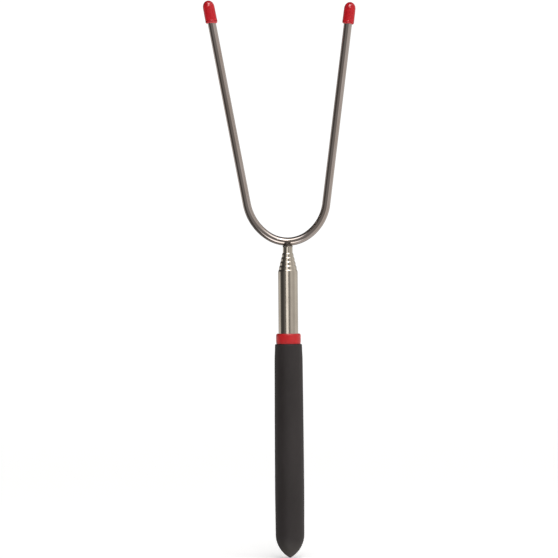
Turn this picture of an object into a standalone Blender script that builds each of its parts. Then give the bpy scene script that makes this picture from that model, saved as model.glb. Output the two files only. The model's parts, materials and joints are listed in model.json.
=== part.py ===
"""Telescoping two-prong roasting fork, closed, upright on the axis of its pole.

Metres, +Z up. The pole's axis is Z and the fork lies in the XZ plane, its longer prong at -X.
The origin is on the pole's axis, halfway up the grip, where a hand holds it.
Run it with: blender --background --python part.py
"""

import math

import bmesh
import bpy

LEFT, RIGHT = -1, 1

# Every height is measured from the butt of the grip. ORIGIN_HEIGHT is where the origin sits.
GRIP_LENGTH = 0.1172
ORIGIN_HEIGHT = GRIP_LENGTH / 2

# Grip: a rubber sleeve with a pointed, closed butt. Its stations are (height, radius), from the top down.
GRIP_NECK_RADIUS = 0.0074
GRIP_STATIONS = (
    (0.1133, 0.00752),
    (0.1084, 0.00771),
    (0.0730, 0.00791),
    (0.0360, 0.008),
    (0.0229, 0.00793),
)
GRIP_EDGE = 0.0006
NOSE_RADIUS = 0.00786
NOSE_LENGTH = 0.013
NOSE_STEPS = 8

# Collar: a ring that stands on the grip's mouth, with a spigot down inside it.
COLLAR_RADIUS = 0.00677
COLLAR_HEIGHT = 0.0057
COLLAR_EDGE = 0.0006
SPIGOT_RADIUS = 0.0062
SPIGOT_LENGTH = 0.006

# Pole: nested tubes, numbered from the outside. Each mouth stands MOUTH_STAGGER above the one outside it.
SECTIONS = 6
OUTER_RADIUS = 0.00539
RADIUS_STEP = 0.000545
WALL = 0.0003
OUTER_FOOT = 0.0200
MOUTH_HEIGHT = 0.1579
MOUTH_STAGGER = 0.0023
ROLL_HEIGHT = 0.0013
ROLL_FLATNESS = 1.5
ROLL_STEPS = 6
TOP_TUBE_HEIGHT = 0.1702

# Foot of a sliding tube: a brass bush in its end, a flare, a seat for the friction spring, and a bead that
# stops against the rolled mouth outside it after STROKE.
STROKE = 0.112
BUSH_FLANGE = 0.0008
BUSH_SPIGOT = 0.0012
FLARE_HEIGHT = 0.0030
BEAD_HEIGHT = 0.0014
SWAGE = 0.00018
SPRING_WALL = 0.00012
SPRING_GAP = math.radians(30)
END_PLUG_FLANGE = 0.0007
END_PLUG_SPIGOT = 0.0030

# Fork: one bent wire, with a tight arc at the bottom, a wider arc at each shoulder and two straight prongs.
WIRE_RADIUS = 0.00225
BEND_HEIGHT = 0.1733
BOTTOM_ARC = 0.0192
BOTTOM_TURN = math.radians(34.4)
SHOULDER_ARC = {LEFT: 0.0272, RIGHT: 0.0245}
PRONG_LEAN = {LEFT: math.radians(10.5), RIGHT: math.radians(7.35)}
PRONG_TOP = {LEFT: 0.3057, RIGHT: 0.3043}
POINT_LENGTH = 0.006
POINT_BLUNT = 0.2
ARC_STEP = math.radians(8)

# Neck plug: fills the top tube, and its saddle is welded to the bend.
PLUG_SPIGOT = 0.008
PLUG_HEAD = 0.0022

# Tip caps: vinyl thimbles over the points.
CAP_RADIUS = 0.00324
CAP_LENGTH = 0.012
CAP_CROWN = 0.0012

# Clearances: SLIP between pieces that slide, SNUG between pieces that are pressed or welded together.
SLIP = 0.00006
SNUG = 0.00015

POLE_SIDES = 36
GRIP_SIDES = 48
CAP_SIDES = 28
ROUNDING_STEPS = 4
SMOOTH_ANGLE = math.radians(35)
MERGE = 0.00001


def clear_scene():
    for obj in list(bpy.data.objects):
        bpy.data.objects.remove(obj)


def new_collection(name):
    made = bpy.data.collections.new(name)
    bpy.context.scene.collection.children.link(made)
    return made


def new_material(name, colour, roughness, metallic):
    made = bpy.data.materials.new(name)
    made.use_nodes = True
    shader = made.node_tree.nodes["Principled BSDF"]
    shader.inputs["Base Color"].default_value = (*colour, 1)
    shader.inputs["Roughness"].default_value = roughness
    shader.inputs["Metallic"].default_value = metallic
    return made


def new_object(name, data, collection, material, parent=None):
    obj = bpy.data.objects.new(name, data)
    collection.objects.link(obj)
    obj.parent = parent
    if material:
        data.materials.append(material)
    return obj


def new_empty(name, collection, height, parent=None):
    """An empty on the pole's axis, at a height above the butt, in its parent's frame."""
    empty = new_object(name, None, collection, None, parent)
    empty.empty_display_size = OUTER_RADIUS * 2
    parent_height = parent["height"] if parent else ORIGIN_HEIGHT
    empty.location.z = height - parent_height
    empty["height"] = height
    return empty


def arc(centre, radius, start, end, steps):
    """Points along an arc, its angles in radians counted from +radius towards +z."""
    angles = [start + (end - start) * i / steps for i in range(steps + 1)]
    return [(centre[0] + radius * math.cos(a), centre[1] + radius * math.sin(a)) for a in angles]


def turned(name, outline, sides, collection, material, parent, ring=False):
    """A body of revolution about its parent's Z axis from (radius, z) points.

    The outline runs down the outer side. It starts and ends on the axis, or is closed to make a ring.
    """
    count = len(outline)
    edges = [(i, (i + 1) % count) for i in range(count if ring else count - 1)]
    mesh = bpy.data.meshes.new(name)
    mesh.from_pydata([(radius, 0, z) for radius, z in outline], edges, [])
    obj = new_object(name, mesh, collection, material, parent)
    screw = obj.modifiers.new("turn", "SCREW")
    screw.axis = "Z"
    screw.steps = screw.render_steps = sides
    screw.use_merge_vertices = True
    screw.merge_threshold = MERGE
    screw.use_smooth_shade = True
    return obj


def tube_radius(section):
    return OUTER_RADIUS - RADIUS_STEP * (section - 1)


def bore_radius(section):
    return tube_radius(section) - WALL


def mouth_height(section):
    return MOUTH_HEIGHT + MOUTH_STAGGER * (section - 1)


def foot_height(section):
    """The underside of a sliding tube's bush. Section 2 stands on the end plug, the others on a bush."""
    stack = OUTER_FOOT + END_PLUG_SPIGOT + SNUG
    return stack + MOUTH_STAGGER * (section - 2)


def grip(collection, material, frame):
    """A sleeve that swells towards its lower third, counterbored for the collar, with an ogive butt."""
    top = GRIP_LENGTH - frame["height"]
    floor = OUTER_FOOT - END_PLUG_FLANGE - 2 * SNUG - frame["height"]
    butt = -frame["height"]
    bore = OUTER_RADIUS + SNUG
    mouth = SPIGOT_RADIUS + SNUG
    counterbore = top - SPIGOT_LENGTH - SNUG
    edge = (GRIP_NECK_RADIUS - GRIP_EDGE, top - GRIP_EDGE)
    outline = [(0, floor), (bore, floor), (bore, counterbore), (mouth, counterbore), (mouth, top)]
    outline += arc(edge, GRIP_EDGE, math.pi / 2, 0, ROUNDING_STEPS)
    outline += [(radius, height - frame["height"]) for height, radius in GRIP_STATIONS]
    ogive = (NOSE_RADIUS**2 + NOSE_LENGTH**2) / (2 * NOSE_RADIUS)
    sweep = math.asin(NOSE_LENGTH / ogive)
    nose = arc((NOSE_RADIUS - ogive, butt + NOSE_LENGTH), ogive, 0, -sweep, NOSE_STEPS)
    outline += [*nose[:-1], (0, butt)]
    return turned("hand_grip", outline, GRIP_SIDES, collection, material, frame)


def collar(collection, material, frame):
    """A ring that stands on the sleeve's mouth and is pressed into it, with the pole running through."""
    base = GRIP_LENGTH + SNUG - frame["height"]
    top = GRIP_LENGTH + COLLAR_HEIGHT - frame["height"]
    bore = OUTER_RADIUS + SNUG
    spigot_end = base - SPIGOT_LENGTH
    edge = (COLLAR_RADIUS - COLLAR_EDGE, top - COLLAR_EDGE)
    outline = arc(edge, COLLAR_EDGE, math.pi / 2, 0, ROUNDING_STEPS)
    outline += [(COLLAR_RADIUS, base), (SPIGOT_RADIUS, base)]
    outline += [(SPIGOT_RADIUS, spigot_end), (bore, spigot_end), (bore, top)]
    return turned("grip_collar", outline, GRIP_SIDES, collection, material, frame, ring=True)


def rolled_mouth(section, top):
    """A tube's end, rolled in to guide the next tube: its outer side downwards, its inner side upwards."""
    outer = tube_radius(section)
    lip = tube_radius(section + 1) + SLIP
    reach = outer - lip
    shoulder = top - ROLL_HEIGHT
    down = []
    for i in range(ROLL_STEPS + 1):
        a = math.pi / 2 * (1 - i / ROLL_STEPS)
        across = max(math.cos(a), 0) ** ROLL_FLATNESS
        up = math.sin(a) ** ROLL_FLATNESS
        down.append((lip + reach * across, shoulder + ROLL_HEIGHT * up))
    up = [(bore_radius(section), shoulder - WALL), (lip, shoulder)]
    return down, up


def outer_tube(collection, material, frame):
    bottom = OUTER_FOOT - frame["height"]
    down, up = rolled_mouth(1, mouth_height(1) - frame["height"])
    outline = [*down, (OUTER_RADIUS, bottom), (bore_radius(1), bottom), *up]
    return turned("outer_tube", outline, POLE_SIDES, collection, material, frame, ring=True)


def end_plug(collection, material, frame):
    """A disc under the outer tube with a spigot in its bore. The closed sections stand on it."""
    seat = OUTER_FOOT - SNUG - frame["height"]
    bore = bore_radius(1) - SNUG
    top = OUTER_FOOT + END_PLUG_SPIGOT - frame["height"]
    bottom = seat - END_PLUG_FLANGE
    outline = [(0, top), (bore, top), (bore, seat)]
    outline += [(OUTER_RADIUS, seat), (OUTER_RADIUS, bottom), (0, bottom)]
    return turned("pole_end_plug", outline, POLE_SIDES, collection, material, frame)


def foot_bush(section, collection, material, frame):
    """A brass foot: its flange runs in the tube outside, and its spigot is pressed into its own tube."""
    flange = bore_radius(section - 1) - SLIP
    spigot = bore_radius(section) - SNUG
    top = BUSH_FLANGE + BUSH_SPIGOT
    outline = [(0, top), (spigot, top), (spigot, BUSH_FLANGE), (flange, BUSH_FLANGE), (flange, 0), (0, 0)]
    return turned(f"foot_bush_{section}", outline, POLE_SIDES, collection, material, frame)


def bead_top(section):
    """How far the stop bead reaches above the foot: it meets the rolled mouth outside it after STROKE."""
    stop = mouth_height(section - 1) - ROLL_HEIGHT - WALL
    return stop - STROKE - foot_height(section) - SLIP


def sliding_tube(section, collection, material, frame):
    """A tube with a flared foot and a stop bead. Its mouth is rolled in round the next tube."""
    radius = tube_radius(section)
    bore = bore_radius(section)
    swaged = radius + SWAGE
    bottom = BUSH_FLANGE + SNUG
    flare = bottom + FLARE_HEIGHT
    bead = bead_top(section)
    if section < SECTIONS:
        down, up = rolled_mouth(section, mouth_height(section) - foot_height(section))
    else:
        top = TOP_TUBE_HEIGHT - foot_height(section)
        down, up = [(radius, top)], [(bore, top)]
    foot = [(radius, bead + SWAGE), (swaged, bead), (swaged, bead - BEAD_HEIGHT)]
    foot += [(radius, bead - BEAD_HEIGHT - SWAGE), (radius, flare + SWAGE)]
    foot += [(swaged, flare), (swaged, bottom)]
    outline = [*down, *foot, (bore, bottom), *up]
    return turned(f"tube_section_{section}", outline, POLE_SIDES, collection, material, frame, ring=True)


def friction_spring(section, collection, material, frame):
    """A slit bronze band between a foot's flare and its bead. It rubs in the tube outside it."""
    inner = tube_radius(section) + SLIP
    low = BUSH_FLANGE + SNUG + FLARE_HEIGHT + 2 * SWAGE
    high = bead_top(section) - BEAD_HEIGHT - 2 * SWAGE
    step = 2 * math.pi / POLE_SIDES
    steps = POLE_SIDES - round(SPRING_GAP / step)
    band = arc((0, 0), inner + SPRING_WALL, 0, steps * step, steps)
    band += arc((0, 0), inner, steps * step, 0, steps)
    curve = bpy.data.curves.new(f"friction_spring_{section}", "CURVE")
    curve.dimensions = "2D"
    curve.fill_mode = "BOTH"
    curve.extrude = (high - low) / 2
    spline = curve.splines.new("POLY")
    spline.use_cyclic_u = True
    spline.points.add(len(band) - 1)
    for point, (x, y) in zip(spline.points, band):
        point.co = (x, y, 0, 1)
    obj = new_object(curve.name, curve, collection, material, frame)
    obj.location.z = (high + low) / 2
    return obj


def prong_path(side):
    """Half of the bend as (x, height above its lowest point), up to where the prong runs straight."""
    x, z = 0, 0
    points = []
    turns = (0, BOTTOM_TURN, math.pi / 2 - PRONG_LEAN[side])
    for first, last, radius in zip(turns, turns[1:], (BOTTOM_ARC, SHOULDER_ARC[side])):
        centre = (x - radius * math.sin(first), z + radius * math.cos(first))
        steps = math.ceil((last - first) / ARC_STEP)
        bend = arc(centre, radius, first - math.pi / 2, last - math.pi / 2, steps)
        x, z = bend[-1]
        points += [(side * across, height) for across, height in bend[1:]]
    return points


def up_the_prong(side, below_top):
    """The point on a prong's centreline that is below_top short of the top of its cap, measured along it."""
    x, z = prong_path(side)[-1]
    lean = PRONG_LEAN[side]
    length = (PRONG_TOP[side] - BEND_HEIGHT - z) / math.cos(lean) - below_top
    return x + side * length * math.sin(lean), z + length * math.cos(lean)


def fork_wire(collection, material, frame):
    """Both prongs as one bent wire, its ends ground to blunt points."""
    points = {}
    for side in (LEFT, RIGHT):
        shank = up_the_prong(side, CAP_CROWN + POINT_LENGTH)
        tip = up_the_prong(side, CAP_CROWN)
        points[side] = [(p, 1) for p in (*prong_path(side), shank)] + [(tip, POINT_BLUNT)]
    path = [*reversed(points[LEFT]), ((0, 0), 1), *points[RIGHT]]
    curve = bpy.data.curves.new("fork_wire", "CURVE")
    curve.dimensions = "3D"
    curve.bevel_depth = WIRE_RADIUS
    curve.bevel_resolution = 4
    curve.use_fill_caps = True
    spline = curve.splines.new("POLY")
    spline.points.add(len(path) - 1)
    for point, ((x, z), thickness) in zip(spline.points, path):
        point.co = (x, 0, z, 1)
        point.radius = thickness
    return new_object("fork_wire", curve, collection, material, frame)


def neck_plug(collection, cutters, material, frame):
    """A steel plug in the top tube, with a saddle across its head that carries the bend."""
    radius = tube_radius(SECTIONS)
    spigot = bore_radius(SECTIONS) - SNUG
    seat = TOP_TUBE_HEIGHT + SNUG - frame["height"]
    top = seat + PLUG_HEAD
    bottom = seat - PLUG_SPIGOT
    outline = [(0, top), (radius, top), (radius, seat), (spigot, seat), (spigot, bottom), (0, bottom)]
    plug = turned("neck_plug", outline, POLE_SIDES, collection, material, frame)
    mesh = bpy.data.meshes.new("neck_saddle")
    cutter = new_object("neck_saddle", mesh, cutters, None, frame)
    reach = WIRE_RADIUS + SNUG
    shape = bmesh.new()
    bmesh.ops.create_cone(
        shape, cap_ends=True, segments=POLE_SIDES, radius1=reach, radius2=reach, depth=4 * reach
    )
    shape.to_mesh(mesh)
    shape.free()
    cutter.rotation_euler.y = math.pi / 2
    cutter.hide_render = True
    cutter.display_type = "WIRE"
    saddle = plug.modifiers.new("saddle", "BOOLEAN")
    saddle.operation = "DIFFERENCE"
    saddle.solver = "EXACT"
    saddle.object = cutter
    return plug


def tip_cap(side, name, collection, material, frame):
    """A vinyl thimble with a domed end. Its origin is at its mouth, and its Z is the prong's axis."""
    bore = WIRE_RADIUS + SNUG
    point = CAP_LENGTH - CAP_CROWN + SNUG
    shank = point - POINT_LENGTH
    blunt = WIRE_RADIUS * POINT_BLUNT + SNUG
    dome = arc((0, CAP_LENGTH - CAP_RADIUS), CAP_RADIUS, math.pi / 2, 0, 2 * ROUNDING_STEPS)
    socket = [(bore, 0), (bore, shank), (blunt, point), (0, point)]
    outline = [(0, CAP_LENGTH), *dome[1:], (CAP_RADIUS, 0), *socket]
    cap = turned(name, outline, CAP_SIDES, collection, material, frame)
    x, z = up_the_prong(side, CAP_LENGTH)
    cap.location = (x, 0, z)
    cap.rotation_euler.y = side * PRONG_LEAN[side]
    return cap


def smooth_shading(collection):
    for obj in collection.objects:
        if obj.type == "MESH":
            obj.data.shade_smooth()
            obj.data.set_sharp_from_angle(angle=SMOOTH_ANGLE)


def build():
    clear_scene()
    parts = new_collection("roasting_fork")
    cutters = new_collection("cutters")
    rubber = new_material("black_rubber", (0.035, 0.031, 0.029), 0.6, 0)
    red_plastic = new_material("red_plastic", (0.48, 0.02, 0.025), 0.3, 0)
    red_vinyl = new_material("red_vinyl", (0.52, 0.016, 0.03), 0.25, 0)
    steel = new_material("stainless_steel", (0.6, 0.58, 0.54), 0.16, 1)
    brass = new_material("brass", (0.75, 0.58, 0.28), 0.3, 1)
    bronze = new_material("spring_bronze", (0.66, 0.42, 0.22), 0.35, 1)

    handle = new_empty("handle_axis", parts, ORIGIN_HEIGHT)
    grip(parts, rubber, handle)
    collar(parts, red_plastic, handle)
    outer_tube(parts, steel, handle)
    end_plug(parts, steel, handle)

    axis = handle
    for section in range(2, SECTIONS + 1):
        axis = new_empty(f"section_{section}_axis", parts, foot_height(section), axis)
        foot_bush(section, parts, brass, axis)
        friction_spring(section, parts, bronze, axis)
        sliding_tube(section, parts, steel, axis)

    fork = new_empty("fork_axis", parts, BEND_HEIGHT, axis)
    fork_wire(parts, steel, fork)
    neck_plug(parts, cutters, steel, fork)
    tip_cap(LEFT, "tip_cap_left", parts, red_vinyl, fork)
    tip_cap(RIGHT, "tip_cap_right", parts, red_vinyl, fork)
    smooth_shading(parts)


build()
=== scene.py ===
"""Looks of the telescoping roasting fork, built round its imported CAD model.

Metres, in the CAD frame: the pole stands on +Z, the fork lies in the XZ plane and the camera looks along +Y.
Each CAD node is replaced by a finely turned or swept piece of the same size, on the node's own body.
"""

import json
import math
import random

import bmesh
import bpy
from mathutils import Matrix, Vector


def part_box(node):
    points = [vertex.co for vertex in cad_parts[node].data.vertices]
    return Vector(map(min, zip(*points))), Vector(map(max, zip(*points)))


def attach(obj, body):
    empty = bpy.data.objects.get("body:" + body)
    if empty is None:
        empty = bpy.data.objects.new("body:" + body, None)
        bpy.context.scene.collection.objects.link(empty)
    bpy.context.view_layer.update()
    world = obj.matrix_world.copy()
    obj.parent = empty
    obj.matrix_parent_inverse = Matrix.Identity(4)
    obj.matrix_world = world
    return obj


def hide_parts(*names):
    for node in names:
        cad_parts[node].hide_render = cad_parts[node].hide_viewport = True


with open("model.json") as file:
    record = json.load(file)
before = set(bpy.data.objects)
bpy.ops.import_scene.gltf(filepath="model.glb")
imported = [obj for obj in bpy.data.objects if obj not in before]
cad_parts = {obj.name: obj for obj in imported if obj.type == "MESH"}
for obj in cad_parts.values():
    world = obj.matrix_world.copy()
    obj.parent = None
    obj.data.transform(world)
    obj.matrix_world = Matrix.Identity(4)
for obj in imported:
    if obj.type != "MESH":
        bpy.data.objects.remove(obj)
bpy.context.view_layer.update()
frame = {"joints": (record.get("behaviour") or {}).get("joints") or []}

MM = 0.001
TURN = 2 * math.pi
SIDES = {"left": -1, "right": 1}
SECTIONS = 6

# Sizes that the boxes of the CAD nodes don't give: first the tubes and what runs in them.
OUTER_RADIUS = 5.39 * MM
RADIUS_STEP = 0.545 * MM
WALL = 0.3 * MM
ROLL_HEIGHT = 1.3 * MM
ROLL_FLATNESS = 1.5
ROLL_STEPS = 16
SLIP = 0.06 * MM
SNUG = 0.15 * MM
SWAGE = 0.18 * MM
FLARE_HEIGHT = 3.0 * MM
BEAD_HEIGHT = 1.4 * MM
SPRING_GAP = 1 / 12
SPRING_ROWS = 24
# How far a spring's ends lie below its middle, and its thickness, as shares of the room that it has.
SPRING_BOW = 0.65
SPRING_SHEET = 0.3

# The wire, its bend and its ground points.
WIRE_RADIUS = 2.25 * MM
BOTTOM_ARC = 19.2 * MM
BOTTOM_TURN = math.radians(34.4)
SHOULDER_ARC = {"left": 27.2 * MM, "right": 24.5 * MM}
BEND_HEIGHT = 173.3 * MM
POINT_LENGTH = 6 * MM
# A ground point loses this share of the wire's radius, a little faster towards its end, and has a small peak.
POINT_LOSS = 0.8
POINT_CURVE = 1.15
POINT_PEAK = 0.6
POINT_STEPS = 8
PRONG_STEPS = 24

# The caps.
CAP_RADIUS = 3.24 * MM
CAP_LENGTH = 12 * MM
CAP_CROWN = 1.2 * MM
CAP_DOME = 3.7 * MM
CAP_TAPER = 0.022
CAP_LIP = 0.7 * MM
CAP_BORE_FIT = 0.03 * MM
CAP_STEPS = 12
DOME_STEPS = 20
# How far each cap's lip droops past its nominal length, and how much further on its right, in millimetres.
SKIRT = {"left": (0.75, 0.4), "right": (0.1, 0.0)}
# The height of the lip's ripple in millimetres, how far up the cap it fades out, and each cap's phase.
RIPPLE = 0.16
RIPPLE_FADE = 2.2 * MM
RIPPLE_PHASE = {"left": 1.3, "right": 4.1}

# The weld is made of fused puddles: their radius in millimetres, and how many make the ring round the neck.
PUDDLE = 0.42
RING_PUDDLES = 26
# Rows of the weld's lobe: millimetres above the bend's underside, half the row's width, and its puddles.
WELD_LOBE = ((0.1, 1.7, 6), (0.6, 1.5, 6), (1.1, 1.3, 5), (1.6, 1.2, 5), (2.1, 1.0, 4))

# The grip's barrel from its shoulder down to its nose: (radius, height above the butt) in millimetres.
BARREL = (
    (7.4, 116.5), (7.52, 113.3), (7.71, 108.4), (7.79, 95.0),
    (7.91, 73.0), (7.99, 46.0), (8.0, 34.0), (7.93, 22.9),
)
GRIP_BORE_FIT = 0.03 * MM
SHOULDER_ROUND = 0.7 * MM
SHOULDER_RADIUS = 6.7 * MM
NOSE_RADIUS = 7.86 * MM
NOSE_LENGTH = 13 * MM
NOSE_STEPS = 24
# The share of the nose's curve that is kept, and the blunt end after it: its ring's share of the last radius
# on the curve, and that ring's height above the butt.
NOSE_SWEEP = 0.965
BUTT_FLAT = 0.55
BUTT_RISE = 0.09 * MM

# The collar: its chamfer as (in from the rim, down from the top) and the fine step near its foot as
# (in from the rim, up from the foot), both in millimetres, and its spigot, which the grip's mouth fits.
COLLAR_CHAMFER = ((0.55, 0), (0.12, 0.5), (0, 0.95))
COLLAR_STEP = ((0, 0.9), (0.1, 0.75), (0.1, 0))
COLLAR_LEAD = 0.25 * MM
COLLAR_BORE_FIT = 0.04 * MM
COLLAR_GAP = 0.1 * MM
SPIGOT_RADIUS = 6.2 * MM
SPIGOT_FIT = 0.03 * MM

# The small rounds on sharp edges.
TUBE_EDGE = 0.06 * MM
STEP_EDGE = 0.12 * MM
COLLAR_EDGE = 0.16 * MM

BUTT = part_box("hand_grip")[0].z
BEND_Z = BUTT + BEND_HEIGHT
LEAN = {
    side: math.acos(next(j["axis"][2] for j in frame["joints"] if j["name"] == f"cap_{side}_pull"))
    for side in SIDES
}

TUBE_SEGMENTS = 96
GRIP_SEGMENTS = 128
WIRE_SEGMENTS = 48
CAP_SEGMENTS = 64
ROUND_STEPS = 8


# Shapes


def arc(centre, radius, start, end, steps=ROUND_STEPS):
    """Points on an arc in (radius, z), its angles in degrees counted from +radius towards +z."""
    angles = [math.radians(start + (end - start) * i / steps) for i in range(steps + 1)]
    return [(centre[0] + radius * math.cos(a), centre[1] + radius * math.sin(a)) for a in angles]


def rounded(outline, fillet, ring=True, steps=3):
    """An outline with each of its sharp corners cut back and rounded by a small fillet."""
    made = []
    count = len(outline)
    for i, here in enumerate(outline):
        p = Vector(here)
        before = Vector(outline[i - 1]) - p
        after = Vector(outline[(i + 1) % count]) - p
        end = not ring and i in (0, count - 1)
        if end or min(before.length, after.length) == 0 or before.angle(after) > math.radians(150):
            made.append(tuple(p))
            continue
        reach = min(fillet, before.length * 0.4, after.length * 0.4)
        first = p + before.normalized() * reach
        last = p + after.normalized() * reach
        for k in range(steps + 1):
            t = k / steps
            made.append(tuple(first * (1 - t) ** 2 + p * (2 * t * (1 - t)) + last * t**2))
    return made


def finished(name, mesh_builder):
    """A smooth-shaded object from a bmesh, its faces pointing out."""
    bmesh.ops.recalc_face_normals(mesh_builder, faces=mesh_builder.faces)
    mesh = bpy.data.meshes.new(name)
    mesh_builder.to_mesh(mesh)
    mesh_builder.free()
    mesh.shade_smooth()
    obj = bpy.data.objects.new(name, mesh)
    bpy.context.scene.collection.objects.link(obj)
    return obj


def lathe(name, outline, segments=TUBE_SEGMENTS, ring=False, shape=None):
    """A turned piece from (radius, z) points. A ring's outline is closed; another's ends lie on the axis.

    shape(angle, radius, z) may return a changed (radius, z), for a piece that isn't perfectly round.
    """
    made = bmesh.new()
    rings = []
    for radius, z in outline:
        if radius == 0:
            rings.append([made.verts.new((0, 0, z))])
            continue
        row = []
        for i in range(segments):
            a = TURN * i / segments
            r, height = shape(a, radius, z) if shape else (radius, z)
            row.append(made.verts.new((r * math.cos(a), r * math.sin(a), height)))
        rings.append(row)
    pairs = list(zip(rings, rings[1:] + rings[:1]))
    for upper, lower in pairs if ring else pairs[:-1]:
        for i in range(segments):
            j = (i + 1) % segments
            corners = [upper[i % len(upper)], upper[j % len(upper)]]
            corners += [lower[j % len(lower)], lower[i % len(lower)]]
            made.faces.new(list(dict.fromkeys(corners)))
    return finished(name, made)


def place(obj, body, node, material):
    """Hands a piece its body, the CAD node that it stands for and its material."""
    obj.data.materials.append(material)
    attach(obj, body)
    if node:
        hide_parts(node)
    return obj


# The pole


def tube_radius(section):
    return OUTER_RADIUS - RADIUS_STEP * (section - 1)


def node_heights(node):
    low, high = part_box(node)
    return low.z, high.z


def rolled_mouth(section, top):
    """A tube's end rolled in round the next: points down its outer side, and points up its inner side."""
    outer = tube_radius(section)
    lip = tube_radius(section + 1) + SLIP
    reach = outer - lip
    shoulder = top - ROLL_HEIGHT
    down = []
    for i in range(ROLL_STEPS + 1):
        a = math.pi / 2 * (1 - i / ROLL_STEPS)
        across = max(math.cos(a), 0) ** ROLL_FLATNESS
        down.append((lip + reach * across, shoulder + ROLL_HEIGHT * math.sin(a) ** ROLL_FLATNESS))
    return down, [(outer - WALL, shoulder - WALL), (lip, shoulder)]


def outer_tube():
    bottom, top = node_heights("outer_tube")
    down, up = rolled_mouth(1, top)
    outline = [*down, (OUTER_RADIUS, bottom), (OUTER_RADIUS - WALL, bottom), *up]
    return lathe("outer_tube_skin", rounded(outline, TUBE_EDGE), ring=True)


def sliding_tube(section):
    bottom, top = node_heights(f"tube_section_{section}")
    spring_top = node_heights(f"friction_spring_{section}")[1]
    radius = tube_radius(section)
    bore = radius - WALL
    swaged = radius + SWAGE
    flare = bottom + FLARE_HEIGHT
    bead = spring_top + 2 * SWAGE
    if section < SECTIONS:
        down, up = rolled_mouth(section, top)
    else:
        down, up = [(radius, top)], [(bore, top)]
    foot = [(radius, bead + BEAD_HEIGHT + SWAGE), (swaged, bead + BEAD_HEIGHT), (swaged, bead)]
    foot += [(radius, bead - SWAGE), (radius, flare + SWAGE), (swaged, flare), (swaged, bottom)]
    outline = [*down, *foot, (bore, bottom), *up]
    return lathe(f"tube_skin_{section}", rounded(outline, TUBE_EDGE), ring=True)


def turned_step(name, node, low_radius, high_radius, step):
    """A solid stepped disc: the pole's end plug or the brass foot of a section."""
    bottom, top = node_heights(node)
    outline = [(0, top), (high_radius, top), (high_radius, step), (low_radius, step), (low_radius, bottom)]
    return lathe(name, rounded([*outline, (0, bottom)], STEP_EDGE, ring=False))


def friction_spring(section):
    """A slit band round a section's foot, bowed a little so that its middle rubs in the tube outside it."""
    low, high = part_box(f"friction_spring_{section}")
    inner = tube_radius(section) + SLIP
    outer = high.x
    last = round(TUBE_SEGMENTS * (1 - SPRING_GAP))
    made = bmesh.new()
    grid = {}
    for row in range(SPRING_ROWS + 1):
        t = row / SPRING_ROWS
        z = low.z + (high.z - low.z) * t
        bow = (1 - SPRING_BOW) + SPRING_BOW * math.sin(math.pi * t)
        skin = inner + (outer - inner) * bow
        hollow = skin - SPRING_SHEET * (outer - inner)
        for i in range(last + 1):
            a = TURN * i / TUBE_SEGMENTS
            for side, r in enumerate((hollow, skin)):
                grid[row, i, side] = made.verts.new((r * math.cos(a), r * math.sin(a), z))
    for row in range(SPRING_ROWS):
        for i in range(last):
            for side in (0, 1):
                made.faces.new([grid[row + p, i + q, side] for p, q in ((0, 0), (0, 1), (1, 1), (1, 0))])
        for i in (0, last):
            made.faces.new([grid[row + p, i, side] for p, side in ((0, 0), (0, 1), (1, 1), (1, 0))])
    for i in range(last):
        for row in (0, SPRING_ROWS):
            made.faces.new([grid[row, i + q, side] for q, side in ((0, 0), (1, 0), (1, 1), (0, 1))])
    return finished(f"spring_band_{section}", made)


# The handle


def smooth_run(stations, steps):
    """A smooth curve through (radius, z) stations, as a Catmull-Rom spline."""
    points = [Vector(p) for p in (stations[0], *stations, stations[-1])]
    made = []
    for a, b, c, d in zip(points, points[1:], points[2:], points[3:]):
        for k in range(steps):
            t = k / steps
            curve = 2 * b + (c - a) * t + (2 * a - 5 * b + 4 * c - d) * t**2 + (3 * b - a - 3 * c + d) * t**3
            made.append(tuple(0.5 * curve))
    return [*made, stations[-1]]


def grip_sleeve():
    """The rubber sleeve: a swelling barrel, a rolled shoulder at its mouth and an ogive butt."""
    bottom, top = node_heights("hand_grip")
    plug_bottom = node_heights("pole_end_plug")[0]
    collar_bottom = node_heights("grip_collar")[0]
    bore = OUTER_RADIUS + GRIP_BORE_FIT
    mouth = SPIGOT_RADIUS + SPIGOT_FIT
    shoulder = (SHOULDER_RADIUS, top - SHOULDER_ROUND)
    ogive = (NOSE_RADIUS**2 + NOSE_LENGTH**2) / (2 * NOSE_RADIUS)
    sweep = math.degrees(math.asin(NOSE_LENGTH / ogive))
    centre = (NOSE_RADIUS - ogive, bottom + NOSE_LENGTH)
    nose = arc(centre, ogive, start=0, end=-sweep * NOSE_SWEEP, steps=NOSE_STEPS)
    stations = [(r * MM, bottom + z * MM) for r, z in BARREL]
    outline = [(0, plug_bottom - SNUG), (bore, plug_bottom - SNUG), (bore, collar_bottom - SNUG)]
    outline += [(mouth, collar_bottom - SNUG), (mouth, top)]
    outline += arc(shoulder, SHOULDER_ROUND, start=90, end=12)
    outline += smooth_run([*stations, nose[0]], steps=6)
    outline += [*nose[1:], (nose[-1][0] * BUTT_FLAT, bottom + BUTT_RISE), (0, bottom)]
    return lathe("rubber_sleeve", outline, GRIP_SEGMENTS)


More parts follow.
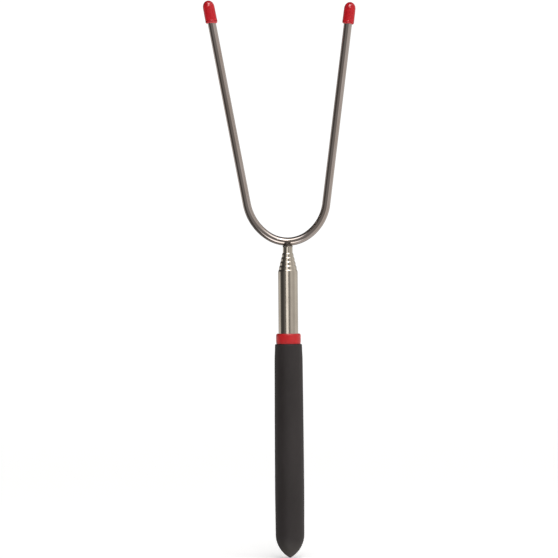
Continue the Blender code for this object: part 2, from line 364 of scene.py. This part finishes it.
def collar_ring():
    """The red collar: chamfered top edge, a fine step near its foot, and a spigot down into the sleeve."""
    bottom, top = node_heights("grip_collar")
    sleeve_top = node_heights("hand_grip")[1]
    bore = OUTER_RADIUS + COLLAR_BORE_FIT
    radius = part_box("grip_collar")[1].x
    foot = sleeve_top + COLLAR_GAP
    outline = [(bore + COLLAR_LEAD, top)]
    outline += [(radius - inset * MM, top - drop * MM) for inset, drop in COLLAR_CHAMFER]
    outline += [(radius - inset * MM, foot + rise * MM) for inset, rise in COLLAR_STEP]
    outline += [(SPIGOT_RADIUS, foot), (SPIGOT_RADIUS, bottom), (bore, bottom), (bore, top - COLLAR_LEAD)]
    return lathe("collar_ring", rounded(outline, COLLAR_EDGE), GRIP_SEGMENTS, ring=True)


# The fork


def dome_centre(side):
    """The centre of a cap's domed end, from the box of its CAD node."""
    low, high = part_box(f"tip_cap_{side}")
    edge = low.x if side == "left" else high.x
    return Vector((edge - SIDES[side] * CAP_RADIUS, 0, high.z - CAP_RADIUS))


def prong_direction(side):
    return Vector((SIDES[side] * math.sin(LEAN[side]), 0, math.cos(LEAN[side])))


def cap_mouth(side):
    return dome_centre(side) - prong_direction(side) * (CAP_LENGTH - CAP_RADIUS)


def bend_half(side, step=math.radians(2)):
    """Half of the bend, from its lowest point up to the straight prong, as (point, direction) pairs."""
    stations = []
    x, z = 0.0, BEND_Z
    turns = (0, BOTTOM_TURN, math.pi / 2 - LEAN[side])
    for first, last, radius in zip(turns, turns[1:], (BOTTOM_ARC, SHOULDER_ARC[side])):
        steps = math.ceil((last - first) / step)
        centre = (x - radius * math.sin(first), z + radius * math.cos(first))
        for k in range(1, steps + 1):
            a = first + (last - first) * k / steps
            x, z = centre[0] + radius * math.sin(a), centre[1] - radius * math.cos(a)
            way = Vector((SIDES[side] * math.cos(a), 0, math.sin(a)))
            stations.append((Vector((SIDES[side] * x, 0, z)), way))
    return stations


def prong_stations(side):
    """One half of the wire as (point, direction, radius), from the bend's lowest point to the ground tip."""
    stations = [(p, way, WIRE_RADIUS) for p, way in bend_half(side)]
    start = stations[-1][0]
    way = prong_direction(side)
    mouth = cap_mouth(side)
    tip = mouth + way * (CAP_LENGTH - CAP_CROWN)
    shank = tip - way * POINT_LENGTH
    stations += [(start.lerp(shank, k / PRONG_STEPS), way, WIRE_RADIUS) for k in range(1, PRONG_STEPS + 1)]
    for k in range(1, POINT_STEPS + 1):
        t = k / POINT_STEPS
        stations.append((shank.lerp(tip, t), way, WIRE_RADIUS * (1 - POINT_LOSS * t**POINT_CURVE)))
    return stations


def fork_wire():
    """Both prongs swept as one wire. Its UVs run round it and along it, in metres, for the drawing marks."""
    left = [(p, -way, r) for p, way, r in reversed(prong_stations("left"))]
    lowest = (Vector((0, 0, BEND_Z)), Vector((1, 0, 0)), WIRE_RADIUS)
    stations = [*left, lowest, *prong_stations("right")]
    made = bmesh.new()
    marks = made.loops.layers.uv.new("drawn")
    depth = Vector((0, 1, 0))
    rings, lengths = [], [0.0]
    for i, (point, way, radius) in enumerate(stations):
        if i:
            lengths.append(lengths[-1] + (point - stations[i - 1][0]).length)
        across = way.cross(depth)
        row = []
        for k in range(WIRE_SEGMENTS):
            a = TURN * k / WIRE_SEGMENTS
            row.append(made.verts.new(point + (across * math.cos(a) + depth * math.sin(a)) * radius))
        rings.append(row)
    girth = TURN * WIRE_RADIUS / WIRE_SEGMENTS
    for i, (one, two) in enumerate(zip(rings, rings[1:])):
        for k in range(WIRE_SEGMENTS):
            j = (k + 1) % WIRE_SEGMENTS
            face = made.faces.new((one[k], one[j], two[j], two[k]))
            places = ((k, i), (k + 1, i), (k + 1, i + 1), (k, i + 1))
            for loop, (around, along) in zip(face.loops, places):
                loop[marks].uv = (around * girth, lengths[along])
    for row, (point, way, radius), sign in ((rings[0], stations[0], -1), (rings[-1], stations[-1], 1)):
        peak = made.verts.new(point + way * sign * radius * POINT_PEAK)
        for k in range(WIRE_SEGMENTS):
            made.faces.new((row[k], row[(k + 1) % WIRE_SEGMENTS], peak))
    return finished("bent_wire", made)


def neck_plug():
    """The plug in the top tube, its head hollowed to a saddle under the bend."""
    bottom, top = node_heights("neck_plug")
    seat = node_heights(f"tube_section_{SECTIONS}")[1] + 0.05 * MM
    radius = tube_radius(SECTIONS)
    spigot = radius - WALL - SNUG
    head = top - seat
    rows = 10
    outline = [(0, top)] + [(radius * k / rows, top) for k in range(1, rows + 1)]
    outline += [(radius, seat), (spigot, seat), (spigot, bottom), (0, bottom)]

    def saddle(angle, r, z):
        if z < seat + head * 0.5:
            return r, z
        y = r * math.sin(angle)
        under = BEND_Z - math.sqrt(max(WIRE_RADIUS**2 - y * y, 0)) - 0.02 * MM
        return r, max(min(z, under), seat + 0.1 * MM)

    return lathe("neck_saddle", outline, TUBE_SEGMENTS, shape=saddle)


def weld_bead():
    """Small fused puddles: a dark ring between the neck and the bend, with a lobe up its front and back."""
    rng = random.Random(7)
    root = BEND_Z - WIRE_RADIUS
    neck = tube_radius(SECTIONS)
    crown = node_heights("neck_plug")[1]
    spots = []
    # The ring climbs at the front and back, where the lobes start.
    for k in range(RING_PUDDLES):
        turn = TURN * k / RING_PUDDLES
        around = neck - (0.34 + 0.2 * rng.random()) * MM
        height = root - (0.25 - 0.9 * math.sin(turn) ** 2 + 0.25 * rng.random()) * MM
        spots.append((around * math.cos(turn), around * math.sin(turn), height))
    for front in (-1, 1):
        for rise, reach, count in WELD_LOBE:
            height = root + rise * MM
            wire_face = math.sqrt(WIRE_RADIUS**2 - (BEND_Z - height) ** 2)
            for k in range(count):
                x = (reach * (2 * k / (count - 1) - 1) + 0.3 * (rng.random() - 0.5)) * MM
                neck_face = math.sqrt(neck**2 - x**2) if height < crown + 0.3 * MM else 0
                y = front * (max(wire_face, neck_face) - 0.12 * MM)
                spots.append((x, y, height + 0.35 * (rng.random() - 0.5) * MM))
    made = bmesh.new()
    for spot in spots:
        size = PUDDLE * ((0.9 + 0.4 * rng.random()) * MM)
        matrix = Matrix.Translation(spot) @ Matrix.Diagonal((size * 1.15, size, size, 1))
        bmesh.ops.create_icosphere(made, subdivisions=3, radius=1, matrix=matrix)
    bead = finished("weld_bead", made)
    fuse = bead.modifiers.new("fuse", "REMESH")
    fuse.mode = "VOXEL"
    fuse.voxel_size = 0.08 * MM
    relax = bead.modifiers.new("relax", "SMOOTH")
    relax.factor = 0.5
    relax.iterations = 9
    return applied(bead)


def applied(obj):
    """The object with its modifiers made part of its mesh."""
    evaluated = obj.evaluated_get(bpy.context.evaluated_depsgraph_get())
    mesh = bpy.data.meshes.new_from_object(evaluated)
    mesh.name = obj.name
    obj.modifiers.clear()
    obj.data = mesh
    mesh.shade_smooth()
    return obj


def tip_cap(side):
    """A dipped vinyl thimble: a domed end, a barrel that widens a little, and an uneven, rolled lip."""
    bore = WIRE_RADIUS + CAP_BORE_FIT
    waist = CAP_RADIUS * (1 - CAP_TAPER)
    neck = CAP_LENGTH - CAP_DOME
    outline = [(r, neck + z * CAP_DOME / waist) for r, z in arc((0, 0), waist, 90, 0, steps=DOME_STEPS)]
    outline[0] = (0, CAP_LENGTH)
    for k in range(1, CAP_STEPS):
        t = 1 - k / CAP_STEPS
        outline.append((CAP_RADIUS * (1 - CAP_TAPER * t * t), neck * t))
    outline += arc((CAP_RADIUS - CAP_LIP, CAP_LIP), CAP_LIP, start=0, end=-90)
    outline += [(bore + 0.1 * MM, 0), (bore, 0.15 * MM)]
    point = CAP_LENGTH - CAP_CROWN + 0.05 * MM
    outline += [(bore, point - POINT_LENGTH), (WIRE_RADIUS * 0.3, point), (0, point)]
    phase = RIPPLE_PHASE[side]
    droop, lopsided = SKIRT[side]

    # The lip's ripple and droop fade out up the cap. The whole of its skin swells a little here and there.
    def dipped(angle, r, z):
        near_lip = max(0, 1 - z / RIPPLE_FADE)
        wave = math.sin(3 * angle + phase) + 0.6 * math.sin(5 * angle + 2.2 * phase)
        skirt = (RIPPLE * (0.6 + 0.4 * wave) - droop - lopsided * math.cos(angle)) * MM
        swell = 1 + 0.006 * math.sin(2 * angle + phase) + 0.004 * math.sin(z / MM * 1.7 + phase)
        return (r * swell if r > bore * 1.1 else r), z + near_lip * skirt

    cap = lathe(f"vinyl_cap_{side}", outline, CAP_SEGMENTS, shape=dipped)
    turn = Matrix.Rotation(SIDES[side] * LEAN[side], 4, "Y")
    cap.matrix_world = Matrix.Translation(cap_mouth(side)) @ turn
    return cap


# Materials

# Base colours. A pair is a material's own colour and the one that it is mottled or scaled with.
POLISHED_STEEL = ((0.66, 0.595, 0.505), (0.56, 0.5, 0.42))
WIRE_STEEL = ((0.605, 0.53, 0.492), (0.49, 0.425, 0.39))
WIRE_STAIN = (0.48, 0.385, 0.32)
HEAT_TINT = (0.42, 0.33, 0.24)
BURNT_STEEL = ((0.16, 0.13, 0.11), (0.035, 0.027, 0.022))
PLAIN_STEEL = ((0.55, 0.53, 0.5), (0.4, 0.38, 0.35))
BRASS = ((0.78, 0.6, 0.28), (0.55, 0.4, 0.17))
BRONZE = ((0.72, 0.47, 0.27), (0.5, 0.31, 0.16))
RUBBER = ((0.022, 0.0175, 0.017), (0.031, 0.025, 0.0245))
# The paler grey that the grip's nose turns towards at the butt.
PALE_NOSE_RUBBER = (0.06, 0.052, 0.045)
PLASTIC = ((0.49, 0.01, 0.0125), (0.56, 0.014, 0.0165))
VINYL = ((0.46, 0.008, 0.014), (0.53, 0.012, 0.02))
THIN_VINYL = (0.62, 0.09, 0.1)
PAPER = (0.9, 0.9, 0.895)
FAR_PAPER = (0.08, 0.08, 0.08)


class Paint:
    """A material's node tree, with short ways to add a node and join it up."""

    def __init__(self, name, **inputs):
        self.material = bpy.data.materials.new(name)
        self.material.use_nodes = True
        self.tree = self.material.node_tree
        self.shader = self.tree.nodes["Principled BSDF"]
        self.set(**inputs)

    def set(self, **inputs):
        for name, value in inputs.items():
            socket = self.shader.inputs[name.replace("_", " ").title().replace("Ior", "IOR")]
            if isinstance(value, bpy.types.NodeSocket):
                self.tree.links.new(value, socket)
            else:
                socket.default_value = (*value, 1) if isinstance(value, tuple) and len(value) == 3 else value

    def node(self, kind, inputs=(), **settings):
        made = self.tree.nodes.new(kind)
        for name, value in settings.items():
            setattr(made, name, value)
        for key, value in dict(inputs).items():
            if isinstance(value, bpy.types.NodeSocket):
                self.tree.links.new(value, made.inputs[key])
            else:
                made.inputs[key].default_value = value
        return made

    def place(self, scale=(1, 1, 1), source="Object"):
        """Coordinates on the piece, stretched along its axes."""
        coordinates = self.node("ShaderNodeTexCoord").outputs[source]
        return self.node("ShaderNodeMapping", {"Vector": coordinates, "Scale": scale}).outputs[0]

    def noise(self, where, scale, detail=3.0, roughness=0.5):
        inputs = {"Vector": where, "Scale": scale, "Detail": detail, "Roughness": roughness}
        return self.node("ShaderNodeTexNoise", inputs).outputs[0]

    def spread(self, value, low, high, start=0.0, end=1.0):
        """A value in start..end mapped to low..high."""
        inputs = {"Value": value, "From Min": start, "From Max": end, "To Min": low, "To Max": high}
        return self.node("ShaderNodeMapRange", inputs).outputs[0]

    def mix(self, amount, first, second):
        made = self.tree.nodes.new("ShaderNodeMix")
        made.data_type = "RGBA"
        for key, value in ((0, amount), (6, first), (7, second)):
            if isinstance(value, bpy.types.NodeSocket):
                self.tree.links.new(value, made.inputs[key])
            else:
                made.inputs[key].default_value = (*value, 1) if isinstance(value, tuple) else value
        return made.outputs[2]

    def bump(self, height, distance, strength=1.0, under=None):
        inputs = {"Height": height, "Distance": distance, "Strength": strength}
        if under:
            inputs["Normal"] = under
        return self.node("ShaderNodeBump", inputs).outputs[0]


def polished_steel(name, tints, roughness):
    """Polished tube: fine draw marks along it, faint smudges, and slightly duller patches."""
    paint = Paint(name, metallic=1.0)
    marks = paint.noise(paint.place((1, 1, 0.015)), 4200, 2)
    smudges = paint.noise(paint.place((1, 1, 0.6)), 130, 4, 0.6)
    paint.set(
        base_color=paint.mix(paint.spread(smudges, 0, 1, 0.35, 0.75), *tints),
        roughness=paint.spread(smudges, roughness * 0.8, roughness * 1.5, 0.3, 0.75),
        normal=paint.bump(marks, 0.004 * MM, 0.35),
    )
    return paint.material


def drawn_wire(name, tints, roughness):
    """Drawn wire: marks and stains that follow the bend, and a straw heat tint beside the weld."""
    paint = Paint(name, metallic=1.0)
    marks = paint.noise(paint.place((1, 0.012, 1), "UV"), 5200, 2)
    streaks = paint.noise(paint.place((1, 0.03, 1), "UV"), 900, 3)
    where = paint.node("ShaderNodeTexCoord").outputs["Object"]
    weld = (0, 0, BEND_Z - WIRE_RADIUS)
    away = paint.node("ShaderNodeVectorMath", {0: where, 1: weld}, operation="DISTANCE")
    heat = paint.spread(away.outputs["Value"], 1, 0, 2.2 * MM, 7 * MM)
    stains = paint.noise(paint.place((1, 0.35, 1), "UV"), 150, 3)
    colour = paint.mix(paint.spread(streaks, 0, 1, 0.35, 0.7), *tints)
    colour = paint.mix(paint.spread(stains, 0, 0.5, 0.42, 0.66), colour, WIRE_STAIN)
    paint.set(
        base_color=paint.mix(paint.spread(heat, 0, 0.45), colour, HEAT_TINT),
        roughness=paint.spread(streaks, roughness * 0.8, roughness * 1.35, 0.3, 0.7),
        normal=paint.bump(marks, 0.005 * MM, 0.4),
    )
    return paint.material


def welded_steel(name):
    """The weld's dark, rough scale, with a little bare steel showing through."""
    paint = Paint(name, metallic=1.0)
    scale = paint.noise(paint.place(), 1600, 4, 0.6)
    burnt = paint.spread(scale, 0, 1, 0.35, 0.7)
    paint.set(
        base_color=paint.mix(burnt, *BURNT_STEEL),
        roughness=paint.spread(scale, 0.18, 0.5, 0.3, 0.7),
        normal=paint.bump(scale, 0.08 * MM, 0.5),
    )
    return paint.material


def turned_metal(name, tints, roughness):
    """Brass, bronze or plain steel with lathe rings and a little tarnish."""
    paint = Paint(name, metallic=1.0)
    rings = paint.noise(paint.place((0.02, 0.02, 1)), 5000, 2)
    tarnish = paint.noise(paint.place(), 420, 4, 0.6)
    paint.set(
        base_color=paint.mix(paint.spread(tarnish, 0, 1, 0.4, 0.75), *tints),
        roughness=paint.spread(tarnish, roughness * 0.8, roughness * 1.4, 0.3, 0.7),
        normal=paint.bump(rings, 0.01 * MM, 0.5),
    )
    return paint.material


def black_rubber():
    """Soft black rubber: a fine matt grain, broad mottling, and a nose that turns paler towards the butt."""
    paint = Paint("black_rubber", specular_ior_level=0.42)
    grain = paint.noise(paint.place(), 3800, 3, 0.6)
    pores = paint.noise(paint.place(), 1100, 2)
    mottle = paint.noise(paint.place((1, 1, 0.45)), 75, 4, 0.6)
    height = paint.node("ShaderNodeSeparateXYZ", {0: paint.place()}).outputs[2]
    # The rubber turns paler over the last 11 mm above the butt.
    nose_fade = paint.spread(height, 1, 0, BUTT, BUTT + 11 * MM)
    colour = paint.mix(paint.spread(mottle, 0, 1, 0.3, 0.75), *RUBBER)
    paint.set(
        base_color=paint.mix(paint.spread(nose_fade, 0, 0.85), colour, PALE_NOSE_RUBBER),
        roughness=paint.spread(mottle, 0.5, 0.62, 0.3, 0.7),
        normal=paint.bump(pores, 0.05 * MM, 0.25, paint.bump(grain, 0.03 * MM, 0.35)),
    )
    return paint.material


def red_plastic():
    """Moulded plastic: an even red with the faint orange peel of the mould."""
    paint = Paint("red_plastic", ior=1.5)
    peel = paint.noise(paint.place(), 700, 2)
    cloud = paint.noise(paint.place(), 160, 3)
    shade = paint.spread(cloud, 0, 1, 0.3, 0.7)
    paint.set(
        base_color=paint.mix(shade, *PLASTIC),
        roughness=paint.spread(cloud, 0.28, 0.38, 0.3, 0.7),
        normal=paint.bump(peel, 0.03 * MM, 0.25),
    )
    return paint.material


def red_vinyl():
    """Dipped vinyl: a wet gloss, colour that thins a little at the lip, and soft ripples from the dip."""
    paint = Paint("red_vinyl", ior=1.5, specular_ior_level=0.3, coat_weight=0.15, coat_roughness=0.08)
    ripples = paint.noise(paint.place((1, 1, 0.5)), 260, 1)
    cloud = paint.noise(paint.place(), 240, 3)
    height = paint.node("ShaderNodeSeparateXYZ", {0: paint.place()}).outputs[2]
    thin = paint.spread(height, 0.8, 0, -0.9 * MM, 0.9 * MM)
    colour = paint.mix(paint.spread(cloud, 0, 1, 0.3, 0.7), *VINYL)
    paint.set(
        base_color=paint.mix(thin, colour, THIN_VINYL),
        roughness=paint.spread(cloud, 0.16, 0.26, 0.3, 0.7),
        normal=paint.bump(ripples, 0.08 * MM, 0.3),
        subsurface_weight=0.15,
        subsurface_scale=0.6 * MM,
    )
    return paint.material


# The object


def build_object():
    """Makes every piece, and returns the polished tubes and the caps."""
    steel = polished_steel("polished_steel", POLISHED_STEEL, roughness=0.13)
    wire_steel = drawn_wire("fork_steel", WIRE_STEEL, roughness=0.13)
    plain = turned_metal("plain_steel", PLAIN_STEEL, roughness=0.25)
    brass = turned_metal("brass", BRASS, roughness=0.22)
    bronze = turned_metal("spring_bronze", BRONZE, roughness=0.28)
    vinyl = red_vinyl()

    place(grip_sleeve(), "grip", "hand_grip", black_rubber())
    place(collar_ring(), "grip", "grip_collar", red_plastic())
    tubes = [place(outer_tube(), "grip", "outer_tube", steel)]
    outer_foot = node_heights("outer_tube")[0] - SNUG
    bore_fit = OUTER_RADIUS - WALL - SNUG
    plug = turned_step("end_plug_turned", "pole_end_plug", OUTER_RADIUS, bore_fit, outer_foot)
    place(plug, "grip", "pole_end_plug", plain)

    for section in range(2, SECTIONS + 1):
        body = f"section_{section}"
        node = f"foot_bush_{section}"
        flange = tube_radius(section - 1) - WALL - SLIP
        spigot = tube_radius(section) - WALL - SNUG
        step = node_heights(f"tube_section_{section}")[0] - SNUG
        tube = sliding_tube(section)
        tubes.append(place(tube, body, f"tube_section_{section}", steel))
        place(turned_step(f"brass_foot_{section}", node, flange, spigot, step), body, node, brass)
        spring = friction_spring(section)
        place(spring, f"spring_{section}", f"friction_spring_{section}", bronze)

    top = f"section_{SECTIONS}"
    place(fork_wire(), top, "fork_wire", wire_steel)
    place(neck_plug(), top, "neck_plug", steel)
    place(weld_bead(), top, None, welded_steel("welded_steel"))
    caps = []
    for side in SIDES:
        caps.append(place(tip_cap(side), f"cap_{side}", f"tip_cap_{side}", vinyl))
    return tubes, caps


# The studio

LENS = 200.0
SENSOR = 36.0
VIEW_HEIGHT = 305.8 * MM
VIEW_CENTRE = (-4.9 * MM, 152.85 * MM)
VIEW_ROLL = math.radians(0.465)
CLIP_END = 50
FLOOR_RINGS = (0, 0.5, 1.5, 3.0)
FLOOR_RADIUS = 6.5
FLOOR_GAP = 0.3 * MM
WALL_SWEEP = 1.5
WALL_HEIGHT = 7.0
# The paper's glow grows between these two distances from the pole, from the first strength to the second.
PAPER_FADE = (0.4, 2.4)
PAPER_GLOW = (0.48, 1.0)
# What the steel reflects: a wall all round, as (azimuth, level), and soft ovals over it, as (azimuth,
# elevation, half width, half height, edge, level). Warmth raises the wall's red and lowers its blue.
WARMTH = 0.02
WALL_LEVELS = (
    (-180, 0.46), (-143, 0.52), (-120, 0.74), (-104, 0.62), (-94, 0.09), (-60, 0.065),
    (-42, 0.18), (-14, 0.25), (12, 0.22), (26, 0.46), (38, 0.68), (62, 0.54),
    (78, 0.54), (94, 0.72), (118, 0.66), (140, 0.68), (180, 0.6),
)
SKY_PANELS = (
    (-145, 52, 62, 42, 0.2, 0.05),
    (12, 60, 30, 20, 0.25, 2.2),
    (-8, -39, 20, 17, 0.3, 2.4),
    (-158, -38, 50, 27, 0.25, 0.15),
)
# The heights on the pole's axis that the lights face: the middle of the fork, and the caps.
MIDDLE = 90 * MM
CAPS = 240 * MM


def white_paper():
    """White card that glows more with distance, so that it stays white where the lights don't reach."""
    paint = Paint("white_paper", roughness=0.9, specular_ior_level=0.1, emission_color=(1.0, 1.0, 1.0))
    where = paint.node("ShaderNodeVectorMath", {0: paint.place((1, 1, 0))}, operation="LENGTH")
    far = paint.spread(where.outputs["Value"], 0, 1, *PAPER_FADE)
    paint.set(
        base_color=paint.mix(far, PAPER, FAR_PAPER),
        emission_strength=paint.spread(far, *PAPER_GLOW),
    )
    return paint.material


def paper_ring(name, line, material):
    """A round piece of the studio from (radius, height) points. The steel doesn't reflect it."""
    floor = BUTT - FLOOR_GAP
    ring = lathe(name, [(r, floor + z) for r, z in line], 96)
    ring.data.materials.append(material)
    ring.visible_glossy = False
    return ring


def studio_floor():
    """A round white floor just under the butt, and a curved wall far round it that only the camera sees."""
    paper = white_paper()
    turns = [math.pi / 24 * k for k in range(13)]
    wall = [(FLOOR_RADIUS + WALL_SWEEP * math.sin(a), WALL_SWEEP - WALL_SWEEP * math.cos(a)) for a in turns]
    wall.append((FLOOR_RADIUS + WALL_SWEEP, WALL_HEIGHT))
    paper_ring("studio_floor", [*((radius, 0) for radius in FLOOR_RINGS), wall[0]], paper)
    backdrop = paper_ring("studio_wall", wall, paper)
    backdrop.visible_diffuse = False
    backdrop.visible_shadow = False


def direction(azimuth, elevation):
    """A unit vector: azimuth 0 points at the camera, 90 to its right; elevation is above the horizon."""
    a, e = math.radians(azimuth), math.radians(elevation)
    return Vector((math.sin(a) * math.cos(e), -math.cos(a) * math.cos(e), math.sin(e)))


class Sky:
    """What the steel reflects: a wall of light and dark round the fork, with soft oval panels over it."""

    def __init__(self):
        world = bpy.data.worlds.new("studio")
        bpy.context.scene.world = world
        world.use_nodes = True
        self.tree = world.node_tree
        self.background = self.tree.nodes["Background"]
        self.way = self.tree.nodes.new("ShaderNodeTexCoord").outputs["Generated"]

    def vector(self, kind, *values):
        return self.operation("ShaderNodeVectorMath", kind, values, "Value")

    def number(self, kind, *values):
        return self.operation("ShaderNodeMath", kind, values, "Value")

    def operation(self, node, kind, values, output):
        made = self.tree.nodes.new(node)
        made.operation = kind
        for socket, value in zip(made.inputs, values):
            if isinstance(value, bpy.types.NodeSocket):
                self.tree.links.new(value, socket)
            else:
                socket.default_value = value
        return made.outputs[output]

    def wall(self, stops):
        """Brightness by azimuth, from (azimuth, level) stops that run from -180 to 180."""
        split = self.tree.nodes.new("ShaderNodeSeparateXYZ")
        self.tree.links.new(self.way, split.inputs[0])
        turn = self.number("ARCTAN2", split.outputs["X"], self.number("MULTIPLY", split.outputs["Y"], -1))
        share = self.number("MULTIPLY_ADD", turn, 1 / TURN, 0.5)
        ramp = self.tree.nodes.new("ShaderNodeValToRGB")
        self.tree.links.new(share, ramp.inputs[0])
        marks = ramp.color_ramp.elements
        while len(marks) < len(stops):
            marks.new(0.5)
        for mark, (azimuth, _) in zip(marks, stops):
            mark.position = azimuth / 360 + 0.5
        for mark, (_, level) in zip(marks, stops):
            mark.color = (level * (1 + WARMTH), level, level * (1 - WARMTH), 1)
        self.view = ramp.outputs[0]

    def panel(self, azimuth, elevation, width, height, edge, level):
        """A soft oval: its half width and half height in degrees, and its soft edge as a share of them."""
        middle = direction(azimuth, elevation)
        across = direction(azimuth + 90, 0)
        up = across.cross(-middle)
        half_width, half_height = math.sin(math.radians(width)), math.sin(math.radians(height))
        u = self.number("DIVIDE", self.vector("DOT_PRODUCT", self.way, across), half_width)
        v = self.number("DIVIDE", self.vector("DOT_PRODUCT", self.way, up), half_height)
        reach = self.number("SQRT", self.number("MULTIPLY_ADD", u, u, self.number("MULTIPLY", v, v)))
        fade = self.tree.nodes.new("ShaderNodeMapRange")
        fade.interpolation_type = "SMOOTHSTEP"
        self.tree.links.new(reach, fade.inputs["Value"])
        fade.inputs["From Min"].default_value = 1 + edge
        fade.inputs["From Max"].default_value = 1 - edge
        front = self.number("GREATER_THAN", self.vector("DOT_PRODUCT", self.way, middle), 0.0)
        mix = self.tree.nodes.new("ShaderNodeMix")
        mix.data_type = "RGBA"
        self.tree.links.new(self.number("MULTIPLY", fade.outputs[0], front), mix.inputs[0])
        self.tree.links.new(self.view, mix.inputs[6])
        mix.inputs[7].default_value = (level, level, level, 1)
        self.view = mix.outputs[2]

    def hang(self):
        self.tree.links.new(self.view, self.background.inputs["Color"])


def studio_sky():
    sky = Sky()
    sky.wall(WALL_LEVELS)
    for oval in SKY_PANELS:
        sky.panel(*oval)
    sky.hang()


def softbox(name, azimuth, elevation, distance, size, radiance, target=MIDDLE, reflected=True):
    """A rectangular light that faces a point on the pole's axis, given by how bright its face is."""
    middle = Vector((0, 0, target))
    light = bpy.data.lights.new(name, "AREA")
    light.shape = "RECTANGLE"
    light.size, light.size_y = size
    light.energy = radiance * math.pi * size[0] * size[1]
    obj = bpy.data.objects.new(name, light)
    bpy.context.scene.collection.objects.link(obj)
    obj.location = middle + direction(azimuth, elevation) * distance
    obj.rotation_euler = (obj.location - middle).to_track_quat("Z", "Y").to_euler()
    obj.visible_camera = False
    obj.visible_glossy = reflected
    return obj


def only_for(light, pieces):
    """Flags a light off everything but these pieces."""
    lit = bpy.data.collections.new(light.name + "_lit")
    for piece in pieces:
        lit.objects.link(piece)
    light.light_linking.receiver_collection = lit


def studio_lights(tubes, caps):
    """A tall key and a wide fill for everything, a strip for the tubes and a window for the glossy caps."""
    softbox("key", azimuth=8, elevation=52, distance=1.0, size=(0.2, 0.4), radiance=5)
    window = (0.5, 0.95)
    glint = softbox("cap_glint", azimuth=2, elevation=44, distance=1.0, size=window, radiance=8, target=CAPS)
    glint.visible_diffuse = False
    only_for(glint, caps)
    softbox("fill", azimuth=30, elevation=25, distance=1.6, size=(1.2, 1.2), radiance=0.7, reflected=False)
    strip = softbox("tube_strip", azimuth=-10, elevation=0, distance=0.9, size=(0.42, 1.6), radiance=1.05)
    only_for(strip, tubes)


def studio_camera():
    """A long lens square on to the fork, rolled by half a degree so that the pole leans a little."""
    camera = bpy.data.cameras.new("camera")
    camera.lens = LENS
    camera.sensor_width = SENSOR
    distance = VIEW_HEIGHT / 2 / (SENSOR / 2 / LENS)
    camera.clip_end = CLIP_END
    obj = bpy.data.objects.new("camera", camera)
    bpy.context.scene.collection.objects.link(obj)
    obj.location = (VIEW_CENTRE[0], -distance, BUTT + VIEW_CENTRE[1])
    obj.rotation_euler = (math.pi / 2, VIEW_ROLL, 0)
    bpy.context.scene.camera = obj


polished_tubes, glossy_caps = build_object()
studio_floor()
studio_sky()
studio_lights(polished_tubes, glossy_caps)
studio_camera()
bpy.context.scene.view_settings.view_transform = "Standard"
